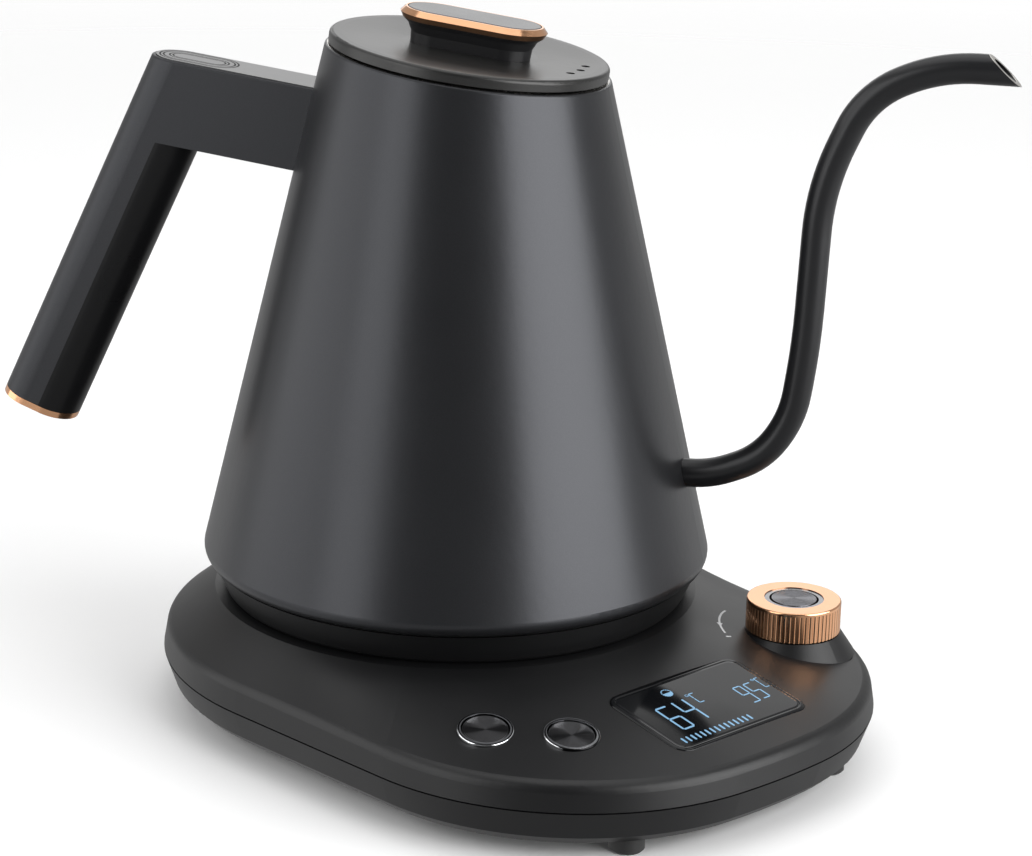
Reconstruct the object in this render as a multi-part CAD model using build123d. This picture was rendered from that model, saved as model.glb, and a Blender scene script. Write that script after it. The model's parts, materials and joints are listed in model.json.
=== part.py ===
from build123d import *
import math
import os

# Electric gooseneck kettle on a control base, in millimetres.
# While the pieces are made, the kettle's axis is the Z axis, +X points to the spout and
# the base's feet stand on Z = 0. The base has its own axes: U towards its controls and
# V across, turned by BASE_TURN about Z. At the end every piece is moved so that the
# origin is the middle of the whole object's footprint box, at the feet.

# ---- general fits
RUN_GAP = 0.3        # between pieces that move against each other
SEAM_GAP = 0.4       # visible parting line between two covers
TOUCH_GAP = 0.1      # between pieces that are held together

# ---- kettle body
BODY_R = 74.0        # radius of the cone where it is carried down to BODY_Z
BODY_Z = 36.5
BODY_SLOPE = 0.2389  # radius lost per millimetre of height
BODY_WALL = 1.2
RIM_Z = 41.4         # lower edge of the metal
RIM_ROUND = 3.5
RIM_FLANGE = 4.0
FLOOR_Z = 47.0
FLOOR_THICK = 1.0


def body_radius(z):
    """Outside radius of the kettle's cone at height z."""
    return BODY_R - BODY_SLOPE * (z - BODY_Z)


RING_FOOT_Z = 32.6
RING_TOP_R = body_radius(RIM_Z) - 3.23
RING_FOOT_R = RING_TOP_R - 3.6
RING_WALL = 2.2
RING_EDGE = 0.8      # bevel at the ring's foot
HEAT_PLATE_R = RING_FOOT_R - 8.0
HEAT_PLATE_THICK = 2.0
ELEMENT_R = HEAT_PLATE_R - 14.0
ELEMENT_TUBE_R = 3.5
ELEMENT_SWEEP = 300  # degrees of the element's open ring
PROBE_X = 33.0
PROBE_R = 2.5
PROBE_FLANGE_R = 4.0
CUTOUT_X = -32.0
CUTOUT_R = 5.5
CUTOUT_SIZE = (10.0, 14.0, 4.0)

# ---- base outline and heights
BASE_TURN = -33.6    # degrees
SEAT_R = RING_FOOT_R + 3.0
BASE_BACK_R = SEAT_R + 13.5   # round back, centred on the kettle's axis
BASE_FRONT = SEAT_R + 58.5    # kettle axis to the middle of the front edge
BASE_TAPER = 3.8     # degrees that each long side leans in
BASE_CORNER_R = BASE_BACK_R - 13.5
BASE_FRONT_R = 190.0
CREST_Z = 22.0       # where the top surface turns down into the side
SEAM_Z = 15.0
SKIRT_GROW = 1.2     # the side stands this much further out at the parting line
CREST_R = 3.4        # rounding of the crest
HOUSING_Z = 4.6      # underside of the lower housing
HOUSING_DRAFT = 4.0  # how far the lower housing draws in towards its underside
KNEE_DRAFT = 1.4     # how far it has drawn in at the knee
KNEE_H = 2.4         # height of the knee over the underside
WALL = 2.4
SEAT_Z = 32.3

# ---- feet, screws and cable gland
FOOT_R = 4.7
FOOT_SINK = 0.8
FRONT_FOOT = (BASE_FRONT - 17.0, 38.2)
BACK_FOOT = (-52.0, 40.0)
FOOT_SPOTS = [(u, side * v) for u, v in (FRONT_FOOT, BACK_FOOT) for side in (1, -1)]
FRONT_SCREW = (SEAT_R - 9.0, SEAT_R - 5.0)
BACK_SCREW = (-22.0, SEAT_R - 7.0)
SCREW_SPOTS = [(u, side * v) for u, v in (FRONT_SCREW, BACK_SCREW) for side in (1, -1)]
SCREW_R = 1.5
SCREW_HEAD_R = 3.0
SCREW_HEAD_H = 1.8
SCREW_LENGTH = 9.0
POST_R = 4.0
SLOT_LENGTH = 4.0
SLOT_WIDTH = 0.8
SLOT_DEPTH = 0.8
GLAND_R = 4.2
GLAND_BORE_R = 2.8
GLAND_LENGTH = 9.0
GLAND_FLANGE = 0.8   # the flange stands out by this much
GLAND_FLANGE_THICK = 2.0
GLAND_Z = 9.8

# ---- base controls


def out_from_seat(reach, degrees):
    """Place on the base at a distance beyond the seat, in a direction from its U axis."""
    turn = math.radians(degrees)
    return ((SEAT_R + reach) * math.cos(turn), (SEAT_R + reach) * math.sin(turn))


DISPLAY_U = SEAT_R + 32.0
DISPLAY_LENGTH = 48.5
DISPLAY_WIDTH = 30.0
DISPLAY_CORNER = 4.5
LENS_THICK = 1.6
MODULE_MARGIN = 2.5
MODULE_THICK = 4.0
BUTTON_SPOTS = {"left": out_from_seat(26.66, -36.5), "right": out_from_seat(32.7, -24.15)}
BUTTON_R = 6.1
BEZEL_R = BUTTON_R + 1.3
BEZEL_RIM = 0.9
BEZEL_PROUD = 0.5
BEZEL_SINK = 0.3     # depth of the flat that each bezel sits on
BARREL_LENGTH = 4.0
BUTTON_THICK = 2.2
BUTTON_TRAVEL = 0.8
STEM_R = 1.8
BOARD_DROP = 15.0    # control board below the sloping top surface
BOARD_THICK = 1.6
SWITCH_SIZE = 6.0
SWITCH_H = 3.6
KNOB_REACH = 29.11   # knob's axis beyond the seat
KNOB_TURN = 32.77    # degrees from the U axis
KNOB_SPOT = out_from_seat(KNOB_REACH, KNOB_TURN)
KNOB_R = 13.2
KNOB_H = 8.7
KNOB_CLEAR = 0.475   # over the cover, at the knob's inner edge
KNOB_FLUTES = 64
FLUTE_R = 0.42
KNOB_HOLE_R = KNOB_R - 4.9
KNOB_TUBE_R = KNOB_HOLE_R + 1.1
TUBE_LENGTH = 9.0    # below the knob's boss
COLLAR_R = KNOB_HOLE_R - 1.4
COLLAR_H = 3.75
COLLAR_SINK = 0.25   # below the knob's top
KNOB_CAP_R = COLLAR_R - 0.55
KNOB_CAP_THICK = 2.15
KNOB_CAP_SINK = 0.05
BOSS_TOP_R = KNOB_R + 0.2
BOSS_FOOT_R = BOSS_TOP_R + 4.1
BOSS_H = 6.0
ENCODER_R = KNOB_TUBE_R + 3.1
ENCODER_H = 5.0

# ---- boards and what stands on them
CONTROL_BOARD = (90.0, 150.0)
CONTROL_BOARD_BACK = SEAT_R + 1.0   # the board ends this far from the kettle's axis
BUZZER_SPOT = (-22.0, -12.0)
BUZZER_R = 4.5
BUZZER_H = 3.0
BUZZER_HOLE_R = 0.8
POWER_BOARD = (74.0, 56.0)
POWER_BOARD_X = -6.0
POWER_BOARD_RISE = 2.0        # over the housing's floor
RELAY_SPOT = (-28.0, 10.0)
RELAY_SIZE = (20.0, 15.0, 11.0)
CAPACITOR_SPOT = (12.0, -14.0)
CAPACITOR_SIZE = (18.0, 9.0, 10.0)
SOLDER_GAP = 0.02    # under what is soldered or glued down

# ---- connector
PLUG_R = 14.5
PLUG_TOP_Z = 38.6
PLUG_FLANGE_R = PLUG_R + 5.5
PLUG_FLANGE_THICK = 1.4
PLUG_STEP = 3.0      # the plug's barrel is this much smaller than its flange
PLUG_DEEP = 9.0
CONTACT_R = [5.5, 9.0, 12.2]
CONTACT_WIDTH = 1.2
CONTACT_H = 0.5
CONTACT_GROOVE = 2.0
SOCKET_R = PLUG_FLANGE_R + 3.8
SOCKET_TOP_Z = 41.5

# ---- slanted top, lid and its knob
TOP_Z = 183.2        # seam plane on the kettle's axis
TOP_TILT = 7.14      # degrees down towards the spout
LID_R = body_radius(TOP_Z) - 0.45
LID_THICK = 3.0
LID_GAP = 0.35
LID_ROUND = 1.1
LID_DISH = 0.8
MOUTH_R = LID_R - 7.0
MOUTH_THICK = 1.2
PLUG_SKIRT_R = MOUTH_R - 2.1
PLUG_DEPTH = 12.0
PLUG_WALL = 1.4
PLUG_VENTS = 6
PLUG_VENT_R = 1.6
PLUG_VENT_RING_R = PLUG_SKIRT_R - 9.4
SEAL_THICK = 2.4
SEAL_DROP = 4.4
STEAM_X = LID_R - 6.7
STEAM_STEP = 12.0    # degrees between the steam holes
STEAM_TURN = -5.0    # middle hole, from the spout's side
STEAM_R = 1.2
GRIP_LENGTH = 41.0   # lid knob, along X
GRIP_WIDTH = 20.5
GRIP_RING_H = 2.9
GRIP_FACE_LENGTH = 37.4
GRIP_STEM_H = 6.3
GRIP_FOOT_LENGTH = 33.6
GRIP_FOOT_WIDTH = 14.5
LID_SCREW_R = 2.0

# ---- spout
SPOUT_R = 4.0
SPOUT_BORE_R = 2.8
SPOUT_PATH = [(60.0, 71.2), (72.4, 71.3), (86.8, 77.6), (94.7, 90.0), (97.4, 110.8), (99.0, 155.0),
              (109.8, 180.0), (128.5, 188.8), (156.0, 188.7)]
SPOUT_CUT = (145.5, 188.6)
SPOUT_CUT_ANGLE = 42.5

# ---- handle
HANDLE_Z = TOP_Z - 14.9       # arm's top plane on the kettle's axis
HANDLE_WIDTH = 17.2
ARM_H = 23.6
HANDLE_ROUND = 0.8
GRIP_DEPTH = 22.7
GRIP_LEAN = 25.2     # degrees from upright
GRIP_HEIGHT = 94.25  # from the grip's end up to the arm's top plane
ARM_LENGTH = 40.24   # from the cone to the grip's axis, level, at the arm's height
GRIP_END = (-body_radius(HANDLE_Z) - ARM_LENGTH - GRIP_HEIGHT * math.tan(math.radians(GRIP_LEAN)),
            HANDLE_Z - GRIP_HEIGHT)
GRIP_END_TILT = 5.0  # degrees between the end face and a square cut
END_CAP_THICK = 2.0
LINER_DEPTH = 9.6
INLAY_THICK = 1.6
INLAY_INSET = 0.9
INLAY_PROUD = 0.25
BRACKET_WIDTH = 10.0
BRACKET_THICK = 3.0
BRACKET_LENGTH = 34.0
HANDLE_SCREW_R = 2.0
HANDLE_SCREW_HEAD_R = 3.4
HANDLE_SCREW_HEAD_H = 1.8
HANDLE_SCREW_STEPS = (12.0, 25.0)   # from the cone

FAR = 400.0
pieces = {}


def disc(radius, low, high, spot=(0.0, 0.0)):
    """Upright cylinder between two heights."""
    column = Cylinder(radius, high - low, align=(Align.CENTER, Align.CENTER, Align.MIN))
    return Pos(spot[0], spot[1], low) * column


def ring(outer, inner, low, high, spot=(0.0, 0.0)):
    """Upright tube between two heights."""
    return disc(outer, low, high, spot) - disc(inner, low - 1, high + 1, spot)


def turned(points):
    """Solid of revolution about Z of a closed outline of (radius, height) points."""
    outline = Polyline([(r, 0, z) for r, z in points], close=True)
    return revolve(make_face(outline), Axis.Z)


# ---------------------------------------------------------------- base outline

def outline_marks(grow):
    """Junctions of the base outline for V >= 0, and the centre of its front corner."""
    lean = math.radians(BASE_TAPER)
    along = Vector(math.cos(lean), -math.sin(lean))
    inward = Vector(-math.sin(lean), -math.cos(lean))
    side_start = inward * -(BASE_BACK_R + grow)
    front_centre = Vector(BASE_FRONT - BASE_FRONT_R, 0)
    from_centre = side_start + inward * (BASE_CORNER_R + grow) - front_centre
    reach = from_centre.dot(along)
    gap = BASE_FRONT_R - BASE_CORNER_R
    run = -reach + math.sqrt(reach ** 2 - from_centre.dot(from_centre) + gap ** 2)
    corner = front_centre + from_centre + along * run
    side_end = corner - inward * (BASE_CORNER_R + grow)
    front_start = corner + (corner - front_centre).normalized() * (BASE_CORNER_R + grow)
    return side_start, side_end, front_start, corner


def arc_middle(start, end, centre):
    """Point halfway along the short arc from start to end."""
    radius = (start - centre).length
    return centre + ((start + end) * 0.5 - centre).normalized() * radius


def base_outline(grow, z):
    """Wire of the base outline at height z: round back, leaning sides, round corners, bowed front."""
    side_start, side_end, front_start, corner = outline_marks(grow)
    middle = arc_middle(side_end, front_start, corner)

    def at(point, side=1):
        return (point.X, side * point.Y, z)

    return Wire([
        ThreePointArc(at(side_start, -1), (-BASE_BACK_R - grow, 0, z), at(side_start)),
        Line(at(side_start), at(side_end)),
        ThreePointArc(at(side_end), at(middle), at(front_start)),
        ThreePointArc(at(front_start), (BASE_FRONT + grow, 0, z), at(front_start, -1)),
        ThreePointArc(at(front_start, -1), at(middle, -1), at(side_end, -1)),
        Line(at(side_end, -1), at(side_start, -1)),
    ])


def seat_outline(radius, z):
    """Circle split at the same directions as the base outline, so that the two loft cleanly."""
    side_start, side_end, front_start, corner = outline_marks(0)
    marks = [math.atan2(p.Y, p.X) for p in (side_start, side_end, front_start)]
    angles = [-marks[0], marks[0] - 2 * math.pi, marks[1] - 2 * math.pi, marks[2] - 2 * math.pi,
              -marks[2] - 2 * math.pi, -marks[1] - 2 * math.pi, -marks[0] - 2 * math.pi]
    arcs = []
    for first, last in zip(angles, angles[1:]):
        points = [(radius * math.cos(a), radius * math.sin(a), z) for a in (first, (first + last) / 2, last)]
        arcs.append(ThreePointArc(*points))
    return Wire(arcs)


def ruled(*wires):
    """Solid between closed outlines, with straight sides from each to the next."""
    steps = [loft([make_face(low), make_face(high)], ruled=True) for low, high in zip(wires, wires[1:])]
    solid = steps[0]
    for step in steps[1:]:
        solid += step
    return solid


def edge_distance(direction):
    """Distance from the kettle's axis to the base outline, for a direction in radians."""
    side_start, side_end, front_start, corner = outline_marks(0)
    turn = abs(direction)
    ray = Vector(math.cos(turn), math.sin(turn))
    if turn < math.atan2(front_start.Y, front_start.X):
        centre, radius = Vector(BASE_FRONT - BASE_FRONT_R, 0), BASE_FRONT_R
    elif turn < math.atan2(side_end.Y, side_end.X):
        centre, radius = corner, BASE_CORNER_R
    elif turn < math.atan2(side_start.Y, side_start.X):
        normal = Vector(math.sin(math.radians(BASE_TAPER)), math.cos(math.radians(BASE_TAPER)))
        return BASE_BACK_R / ray.dot(normal)
    else:
        return BASE_BACK_R
    across = ray.cross(centre).length
    return ray.dot(centre) + math.sqrt(radius ** 2 - across ** 2)


def cover_plane(u, v):
    """Plane on the sloping top surface at (u, v): local X downhill, local Z outwards."""
    direction = math.atan2(v, u)
    fall = (SEAT_Z - CREST_Z) / (edge_distance(direction) - SEAT_R)
    z = SEAT_Z - fall * (math.hypot(u, v) - SEAT_R)
    slope = math.atan(fall)
    out = Vector(math.cos(direction), math.sin(direction), 0)
    normal = out * math.sin(slope) + Vector(0, 0, math.cos(slope))
    downhill = out * math.cos(slope) - Vector(0, 0, math.sin(slope))
    return Plane(origin=(u, v, z), x_dir=downhill, z_dir=normal)


def on_plane(plane, piece, depth=0.0):
    """Piece made at the origin, laid on a plane and sunk below it."""
    return plane.location * Pos(0, 0, -depth) * piece


DISPLAY_PLANE = cover_plane(DISPLAY_U, 0)
KNOB_FOOT_Z = cover_plane(*out_from_seat(KNOB_REACH - KNOB_R, KNOB_TURN)).origin.Z + KNOB_CLEAR
KNOB_TOP_Z = KNOB_FOOT_Z + KNOB_H
BOSS_TOP_Z = KNOB_FOOT_Z - RUN_GAP


def display_block(grow, depth, thick):
    """Rounded block under the display window, its top at the given depth."""
    face = RectangleRounded(DISPLAY_WIDTH + 2 * grow, DISPLAY_LENGTH + 2 * grow, DISPLAY_CORNER + grow)
    return on_plane(DISPLAY_PLANE, extrude(face, amount=-thick), depth)


def switch_depth(plane):
    """Depth of the control board's top below the cover surface at a button, along the button's axis."""
    board_top = DISPLAY_PLANE.origin - DISPLAY_PLANE.z_dir * (BOARD_DROP - BOARD_THICK)
    gap = (plane.origin - board_top).dot(DISPLAY_PLANE.z_dir)
    return gap / plane.z_dir.dot(DISPLAY_PLANE.z_dir)


def cover_solid(inset):
    """Everything under the top surface moved in by a wall thickness."""
    top = SEAT_Z - inset
    crest = base_outline(-inset, CREST_Z - inset)
    return ruled(base_outline(SKIRT_GROW - inset, SEAM_Z), crest, seat_outline(SEAT_R - inset, top))


def make_base_cover():
    """Top cover: thin shell with the seat, knob boss, screw posts and control openings."""
    outer = cover_solid(0)
    crest = [e for e in outer.edges() if abs(e.center().Z - CREST_Z) < 0.2 and e.length > 5]
    outer = fillet(crest, CREST_R)
    cover = outer - cover_solid(WALL)
    cover -= Pos(0, 0, SEAM_Z - 5) * Box(FAR, FAR, 10)
    flank = Cone(BOSS_FOOT_R, BOSS_TOP_R, BOSS_H, align=(Align.CENTER, Align.CENTER, Align.MAX))
    cover += Pos(*KNOB_SPOT, BOSS_TOP_Z) * flank
    cover -= disc(KNOB_TUBE_R + RUN_GAP, 5, 60, KNOB_SPOT)
    for u, v in SCREW_SPOTS:
        top = cover_plane(u, v).origin.Z if math.hypot(u, v) > SEAT_R else SEAT_Z
        cover += disc(POST_R, HOUSING_Z + 2 * WALL + TOUCH_GAP, top - WALL / 2, (u, v))
        cover -= disc(SCREW_R, 0, HOUSING_Z + 2 * WALL + SCREW_LENGTH, (u, v))
    cover -= display_block(TOUCH_GAP, -1, 1 + LENS_THICK)
    cover -= display_block(-MODULE_MARGIN, 0, MODULE_THICK + 3)
    for spot in BUTTON_SPOTS.values():
        cover -= on_plane(cover_plane(*spot), Cylinder(BEZEL_R - BEZEL_RIM + TOUCH_GAP, 12))
        recess = Cylinder(BEZEL_R + TOUCH_GAP, 6, align=(Align.CENTER, Align.CENTER, Align.MIN))
        cover -= on_plane(cover_plane(*spot), recess, BEZEL_SINK)
    cover -= disc(PLUG_FLANGE_R + TOUCH_GAP, SEAT_Z - PLUG_FLANGE_THICK - 2 * TOUCH_GAP, SEAT_Z + 5)
    cover -= disc(PLUG_FLANGE_R - PLUG_STEP, SEAT_Z - PLUG_DEEP - 1, SEAT_Z + 5)
    pieces["base_top_cover"] = cover


def make_base_housing():
    """Lower housing: drafted tray with screw bosses, foot recesses and the gland's hole."""
    top = SEAM_Z - SEAM_GAP
    knee = base_outline(-KNEE_DRAFT, HOUSING_Z + KNEE_H)
    outer = ruled(base_outline(-HOUSING_DRAFT, HOUSING_Z), knee, base_outline(SKIRT_GROW, top))
    floor = base_outline(-KNEE_DRAFT - WALL, HOUSING_Z + WALL)
    inner = ruled(floor, base_outline(SKIRT_GROW - WALL, top + 0.1))
    housing = outer - inner
    for spot in SCREW_SPOTS:
        housing += disc(POST_R + 1, HOUSING_Z + WALL - 0.5, HOUSING_Z + 2 * WALL, spot)
        housing -= disc(SCREW_R + 0.2, 0, 30, spot)
        housing -= disc(SCREW_HEAD_R + 0.4, 0, HOUSING_Z + SCREW_HEAD_H + 1, spot)
    for spot in FOOT_SPOTS:
        housing -= disc(FOOT_R + TOUCH_GAP, 0, HOUSING_Z + FOOT_SINK, spot)
    housing -= Pos(-BASE_BACK_R, 0, GLAND_Z) * Rot(0, 90, 0) * Cylinder(GLAND_R + TOUCH_GAP, 20)
    housing -= Pos(0, 0, top + 5) * Box(FAR, FAR, 10)
    pieces["base_housing"] = housing


def make_base_fittings():
    """Rubber feet, housing screws and the cable gland."""
    feet = []
    for spot in FOOT_SPOTS:
        foot = disc(FOOT_R, 0, HOUSING_Z + FOOT_SINK, spot)
        feet.append(chamfer(foot.edges().sort_by(Axis.Z)[0], 0.6))
    pieces["rubber_feet"] = Compound(feet)
    head_low = HOUSING_Z + 1
    screws = []
    for spot in SCREW_SPOTS:
        head = disc(SCREW_HEAD_R, head_low, head_low + SCREW_HEAD_H, spot)
        cross = Box(SLOT_LENGTH, SLOT_WIDTH, 2 * SLOT_DEPTH) + Box(SLOT_WIDTH, SLOT_LENGTH, 2 * SLOT_DEPTH)
        slot = Pos(spot[0], spot[1], head_low) * cross
        shank = disc(SCREW_R - 0.05, head_low, head_low + SCREW_HEAD_H + SCREW_LENGTH, spot)
        screws.append(head + shank - slot)
    pieces["housing_screws"] = Compound(screws)
    gland = disc(GLAND_R, 0, GLAND_LENGTH) + disc(GLAND_R + GLAND_FLANGE, -GLAND_FLANGE_THICK, 0)
    gland -= Cylinder(GLAND_BORE_R, FAR)
    back = BASE_BACK_R + 2 * TOUCH_GAP + SKIRT_GROW
    pieces["cable_gland"] = Pos(-back, 0, GLAND_Z) * Rot(0, 90, 0) * gland


def make_display():
    """Glossy window set in the cover and the display module under it."""
    lens = display_block(0, 0, LENS_THICK - TOUCH_GAP)
    pieces["display_window"] = lens
    module = display_block(-MODULE_MARGIN - RUN_GAP, LENS_THICK + TOUCH_GAP, MODULE_THICK)
    pieces["display_module"] = module


def make_push_buttons():
    """Bezels, caps with stems, and the tact switches on the control board."""
    bezels = []
    switches = []
    for name, spot in BUTTON_SPOTS.items():
        plane = cover_plane(*spot)
        opening = BUTTON_R + RUN_GAP
        rim = Cylinder(BEZEL_R, BEZEL_PROUD + BEZEL_SINK, align=(Align.CENTER, Align.CENTER, Align.MIN))
        barrel = Cylinder(BEZEL_R - BEZEL_RIM, BARREL_LENGTH, align=(Align.CENTER, Align.CENTER, Align.MAX))
        rim = fillet(rim.edges().group_by(Axis.Z)[-1], 0.35)
        bezels.append(on_plane(plane, rim + barrel - Cylinder(opening, 30), BEZEL_SINK - 0.02))
        depth = switch_depth(plane) - SWITCH_H - BUTTON_TRAVEL - RUN_GAP
        cap = Cylinder(BUTTON_R, BUTTON_THICK, align=(Align.CENTER, Align.CENTER, Align.MAX))
        cap = fillet(cap.edges().group_by(Axis.Z)[-1], 0.3)
        stem = Cylinder(STEM_R, depth, align=(Align.CENTER, Align.CENTER, Align.MAX))
        pieces["button_" + name] = on_plane(plane, Pos(0, 0, 0.2) * cap + stem)
        block = Box(SWITCH_SIZE, SWITCH_SIZE, SWITCH_H, align=(Align.CENTER, Align.CENTER, Align.MIN))
        foot = plane.origin - plane.z_dir * switch_depth(plane)
        seat = Plane(origin=foot, x_dir=DISPLAY_PLANE.x_dir, z_dir=DISPLAY_PLANE.z_dir)
        switches.append(seat.location * Pos(0, 0, SOLDER_GAP) * block)
    pieces["button_bezels"] = Compound(bezels)
    pieces["tact_switches"] = Compound(switches)


def make_control_board():
    """Board parallel to the front slope, cut to the outline, clear of the posts and the encoder."""
    slab = Box(*CONTROL_BOARD, BOARD_THICK, align=(Align.CENTER, Align.CENTER, Align.MAX))
    slab = on_plane(DISPLAY_PLANE, slab, BOARD_DROP - BOARD_THICK)
    inside = extrude(make_face(base_outline(-7, 5)), amount=35)
    board = slab & inside
    board -= Pos(CONTROL_BOARD_BACK - FAR / 2, 0, 0) * Box(FAR, FAR, FAR)
    board -= disc(ENCODER_R + 1, 0, 60, KNOB_SPOT)
    for spot in FOOT_SPOTS[:2]:
        board -= disc(FOOT_R, 0, HOUSING_Z + 4, spot)
    pieces["control_board"] = board.solids().sort_by(SortBy.VOLUME)[-1]
    seat = DISPLAY_PLANE.origin - DISPLAY_PLANE.z_dir * (BOARD_DROP - BOARD_THICK - SOLDER_GAP)
    buzzer = Plane(origin=seat, x_dir=DISPLAY_PLANE.x_dir, z_dir=DISPLAY_PLANE.z_dir)
    can = ring(BUZZER_R, BUZZER_HOLE_R, 0, BUZZER_H)
    pieces["buzzer"] = buzzer.location * Pos(*BUZZER_SPOT, 0) * can


def make_knob():
    """Fluted turning ring with its tube, inner collar, centre push button and ring encoder."""
    flute = Cylinder(FLUTE_R, KNOB_H - 0.9, align=(Align.CENTER, Align.CENTER, Align.MIN))
    body = disc(KNOB_R, KNOB_FOOT_Z, KNOB_TOP_Z)
    body = fillet(body.edges().group_by(Axis.Z)[-1], 0.5)
    flutes = [Rot(0, 0, 360 / KNOB_FLUTES * i) * Pos(KNOB_R + FLUTE_R / 2, 0, KNOB_FOOT_Z - 0.1) * flute
              for i in range(KNOB_FLUTES)]
    body -= Compound(flutes)
    tube_foot = BOSS_TOP_Z - TUBE_LENGTH
    body += disc(KNOB_TUBE_R, tube_foot, KNOB_FOOT_Z + 1)
    body -= disc(KNOB_HOLE_R, tube_foot - 1, KNOB_TOP_Z + 1)
    pieces["control_knob"] = Pos(*KNOB_SPOT, 0) * body
    collar_top = KNOB_TOP_Z - COLLAR_SINK
    collar = ring(KNOB_HOLE_R - TOUCH_GAP / 2, COLLAR_R, collar_top - COLLAR_H, collar_top, KNOB_SPOT)
    pieces["knob_collar"] = collar
    cap_top = KNOB_TOP_Z - KNOB_CAP_SINK
    cap = disc(KNOB_CAP_R, cap_top - KNOB_CAP_THICK, cap_top, KNOB_SPOT)
    cap = fillet(cap.edges().group_by(Axis.Z)[-1], 0.3)
    stem_foot = tube_foot - ENCODER_H + SWITCH_H + BUTTON_TRAVEL
    cap += disc(STEM_R, stem_foot, cap_top - 1, KNOB_SPOT)
    pieces["knob_button"] = cap
    shelf = tube_foot - RUN_GAP
    encoder = ring(ENCODER_R, SWITCH_SIZE * 0.75, shelf - ENCODER_H, shelf, KNOB_SPOT)
    pieces["knob_encoder"] = encoder
    switch_top = stem_foot - BUTTON_TRAVEL - TOUCH_GAP
    block = Box(SWITCH_SIZE, SWITCH_SIZE, SWITCH_H, align=(Align.CENTER, Align.CENTER, Align.MAX))
    pieces["knob_switch"] = Pos(*KNOB_SPOT, switch_top) * block


def make_power_board():
    """Mains board under the seat with its relay and filter capacitor."""
    standing = (Align.CENTER, Align.CENTER, Align.MIN)
    low = HOUSING_Z + WALL + POWER_BOARD_RISE
    pieces["power_board"] = Pos(POWER_BOARD_X, 0, low) * Box(*POWER_BOARD, BOARD_THICK, align=standing)
    top = low + BOARD_THICK + SOLDER_GAP
    pieces["power_relay"] = Pos(*RELAY_SPOT, top) * Box(*RELAY_SIZE, align=standing)
    pieces["filter_capacitor"] = Pos(*CAPACITOR_SPOT, top) * Box(*CAPACITOR_SIZE, align=standing)


def make_base_plug():
    """All-round plug on the base with its concentric contact rings."""
    flange_top = SEAT_Z - TOUCH_GAP
    plug = disc(PLUG_FLANGE_R, flange_top - PLUG_FLANGE_THICK, flange_top)
    plug += disc(PLUG_FLANGE_R - PLUG_STEP - TOUCH_GAP, SEAT_Z - PLUG_DEEP, flange_top)
    stub = disc(PLUG_R, flange_top - 1, PLUG_TOP_Z)
    plug += fillet(stub.edges().group_by(Axis.Z)[-1], 1.0)
    contacts = []
    for radius in CONTACT_R:
        half = CONTACT_WIDTH / 2
        reach = half + TOUCH_GAP / 2
        plug -= ring(radius + reach, radius - reach, PLUG_TOP_Z - CONTACT_GROOVE, PLUG_TOP_Z + 1)
        foot = PLUG_TOP_Z - CONTACT_GROOVE + TOUCH_GAP / 2
        contacts.append(ring(radius + half, radius - half, foot, PLUG_TOP_Z - CONTACT_H))
    pieces["base_plug"] = plug
    pieces["contact_rings"] = Compound(contacts)


# ---------------------------------------------------------------- kettle

def top_plane(offset):
    """Slanted plane of the kettle's top, moved along its normal."""
    lean = math.radians(TOP_TILT)
    centre = BODY_SLOPE * body_radius(TOP_Z) * math.tan(lean)
    normal = Vector(math.sin(lean), 0, math.cos(lean))
    origin = Vector(centre, 0, TOP_Z - centre * math.tan(lean)) + normal * offset
    return Plane(origin=origin, x_dir=(math.cos(lean), 0, -math.sin(lean)), z_dir=normal)


def above(plane):
    """Large block over a plane, used to cut off what lies above it."""
    return plane.location * Box(FAR, FAR, FAR, align=(Align.CENTER, Align.CENTER, Align.MIN))


def cone_solid(inset, low, high):
    """Solid cone inside the kettle's outer surface, between two heights."""
    points = [(0, low), (body_radius(low) - inset, low), (body_radius(high) - inset, high), (0, high)]
    return turned(points)


def make_kettle_body():
    """Conical shell with a rounded lower edge, open at its slanted top."""
    ceiling = TOP_Z + 20
    outer = cone_solid(0, RIM_Z, ceiling)
    outer = fillet(outer.edges().group_by(Axis.Z)[0], RIM_ROUND)
    outer -= above(top_plane(-LID_GAP))
    rim = outer.edges().filter_by(lambda e: e.center().Z > TOP_Z - 15)
    outer = fillet(rim, BODY_WALL * 0.7)
    inner = cone_solid(BODY_WALL, RIM_Z + BODY_WALL, ceiling)
    inner = fillet(inner.edges().group_by(Axis.Z)[0], RIM_ROUND - BODY_WALL)
    shell = outer - inner
    shell -= disc(body_radius(RIM_Z) - RIM_FLANGE, RIM_Z - 1, RIM_Z + 5)
    start = spout_path() @ 0
    shell -= Pos(start.X - 10, 0, start.Z) * Rot(0, 90, 0) * Cylinder(SPOUT_BORE_R, 40)
    pieces["kettle_body"] = shell


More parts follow.
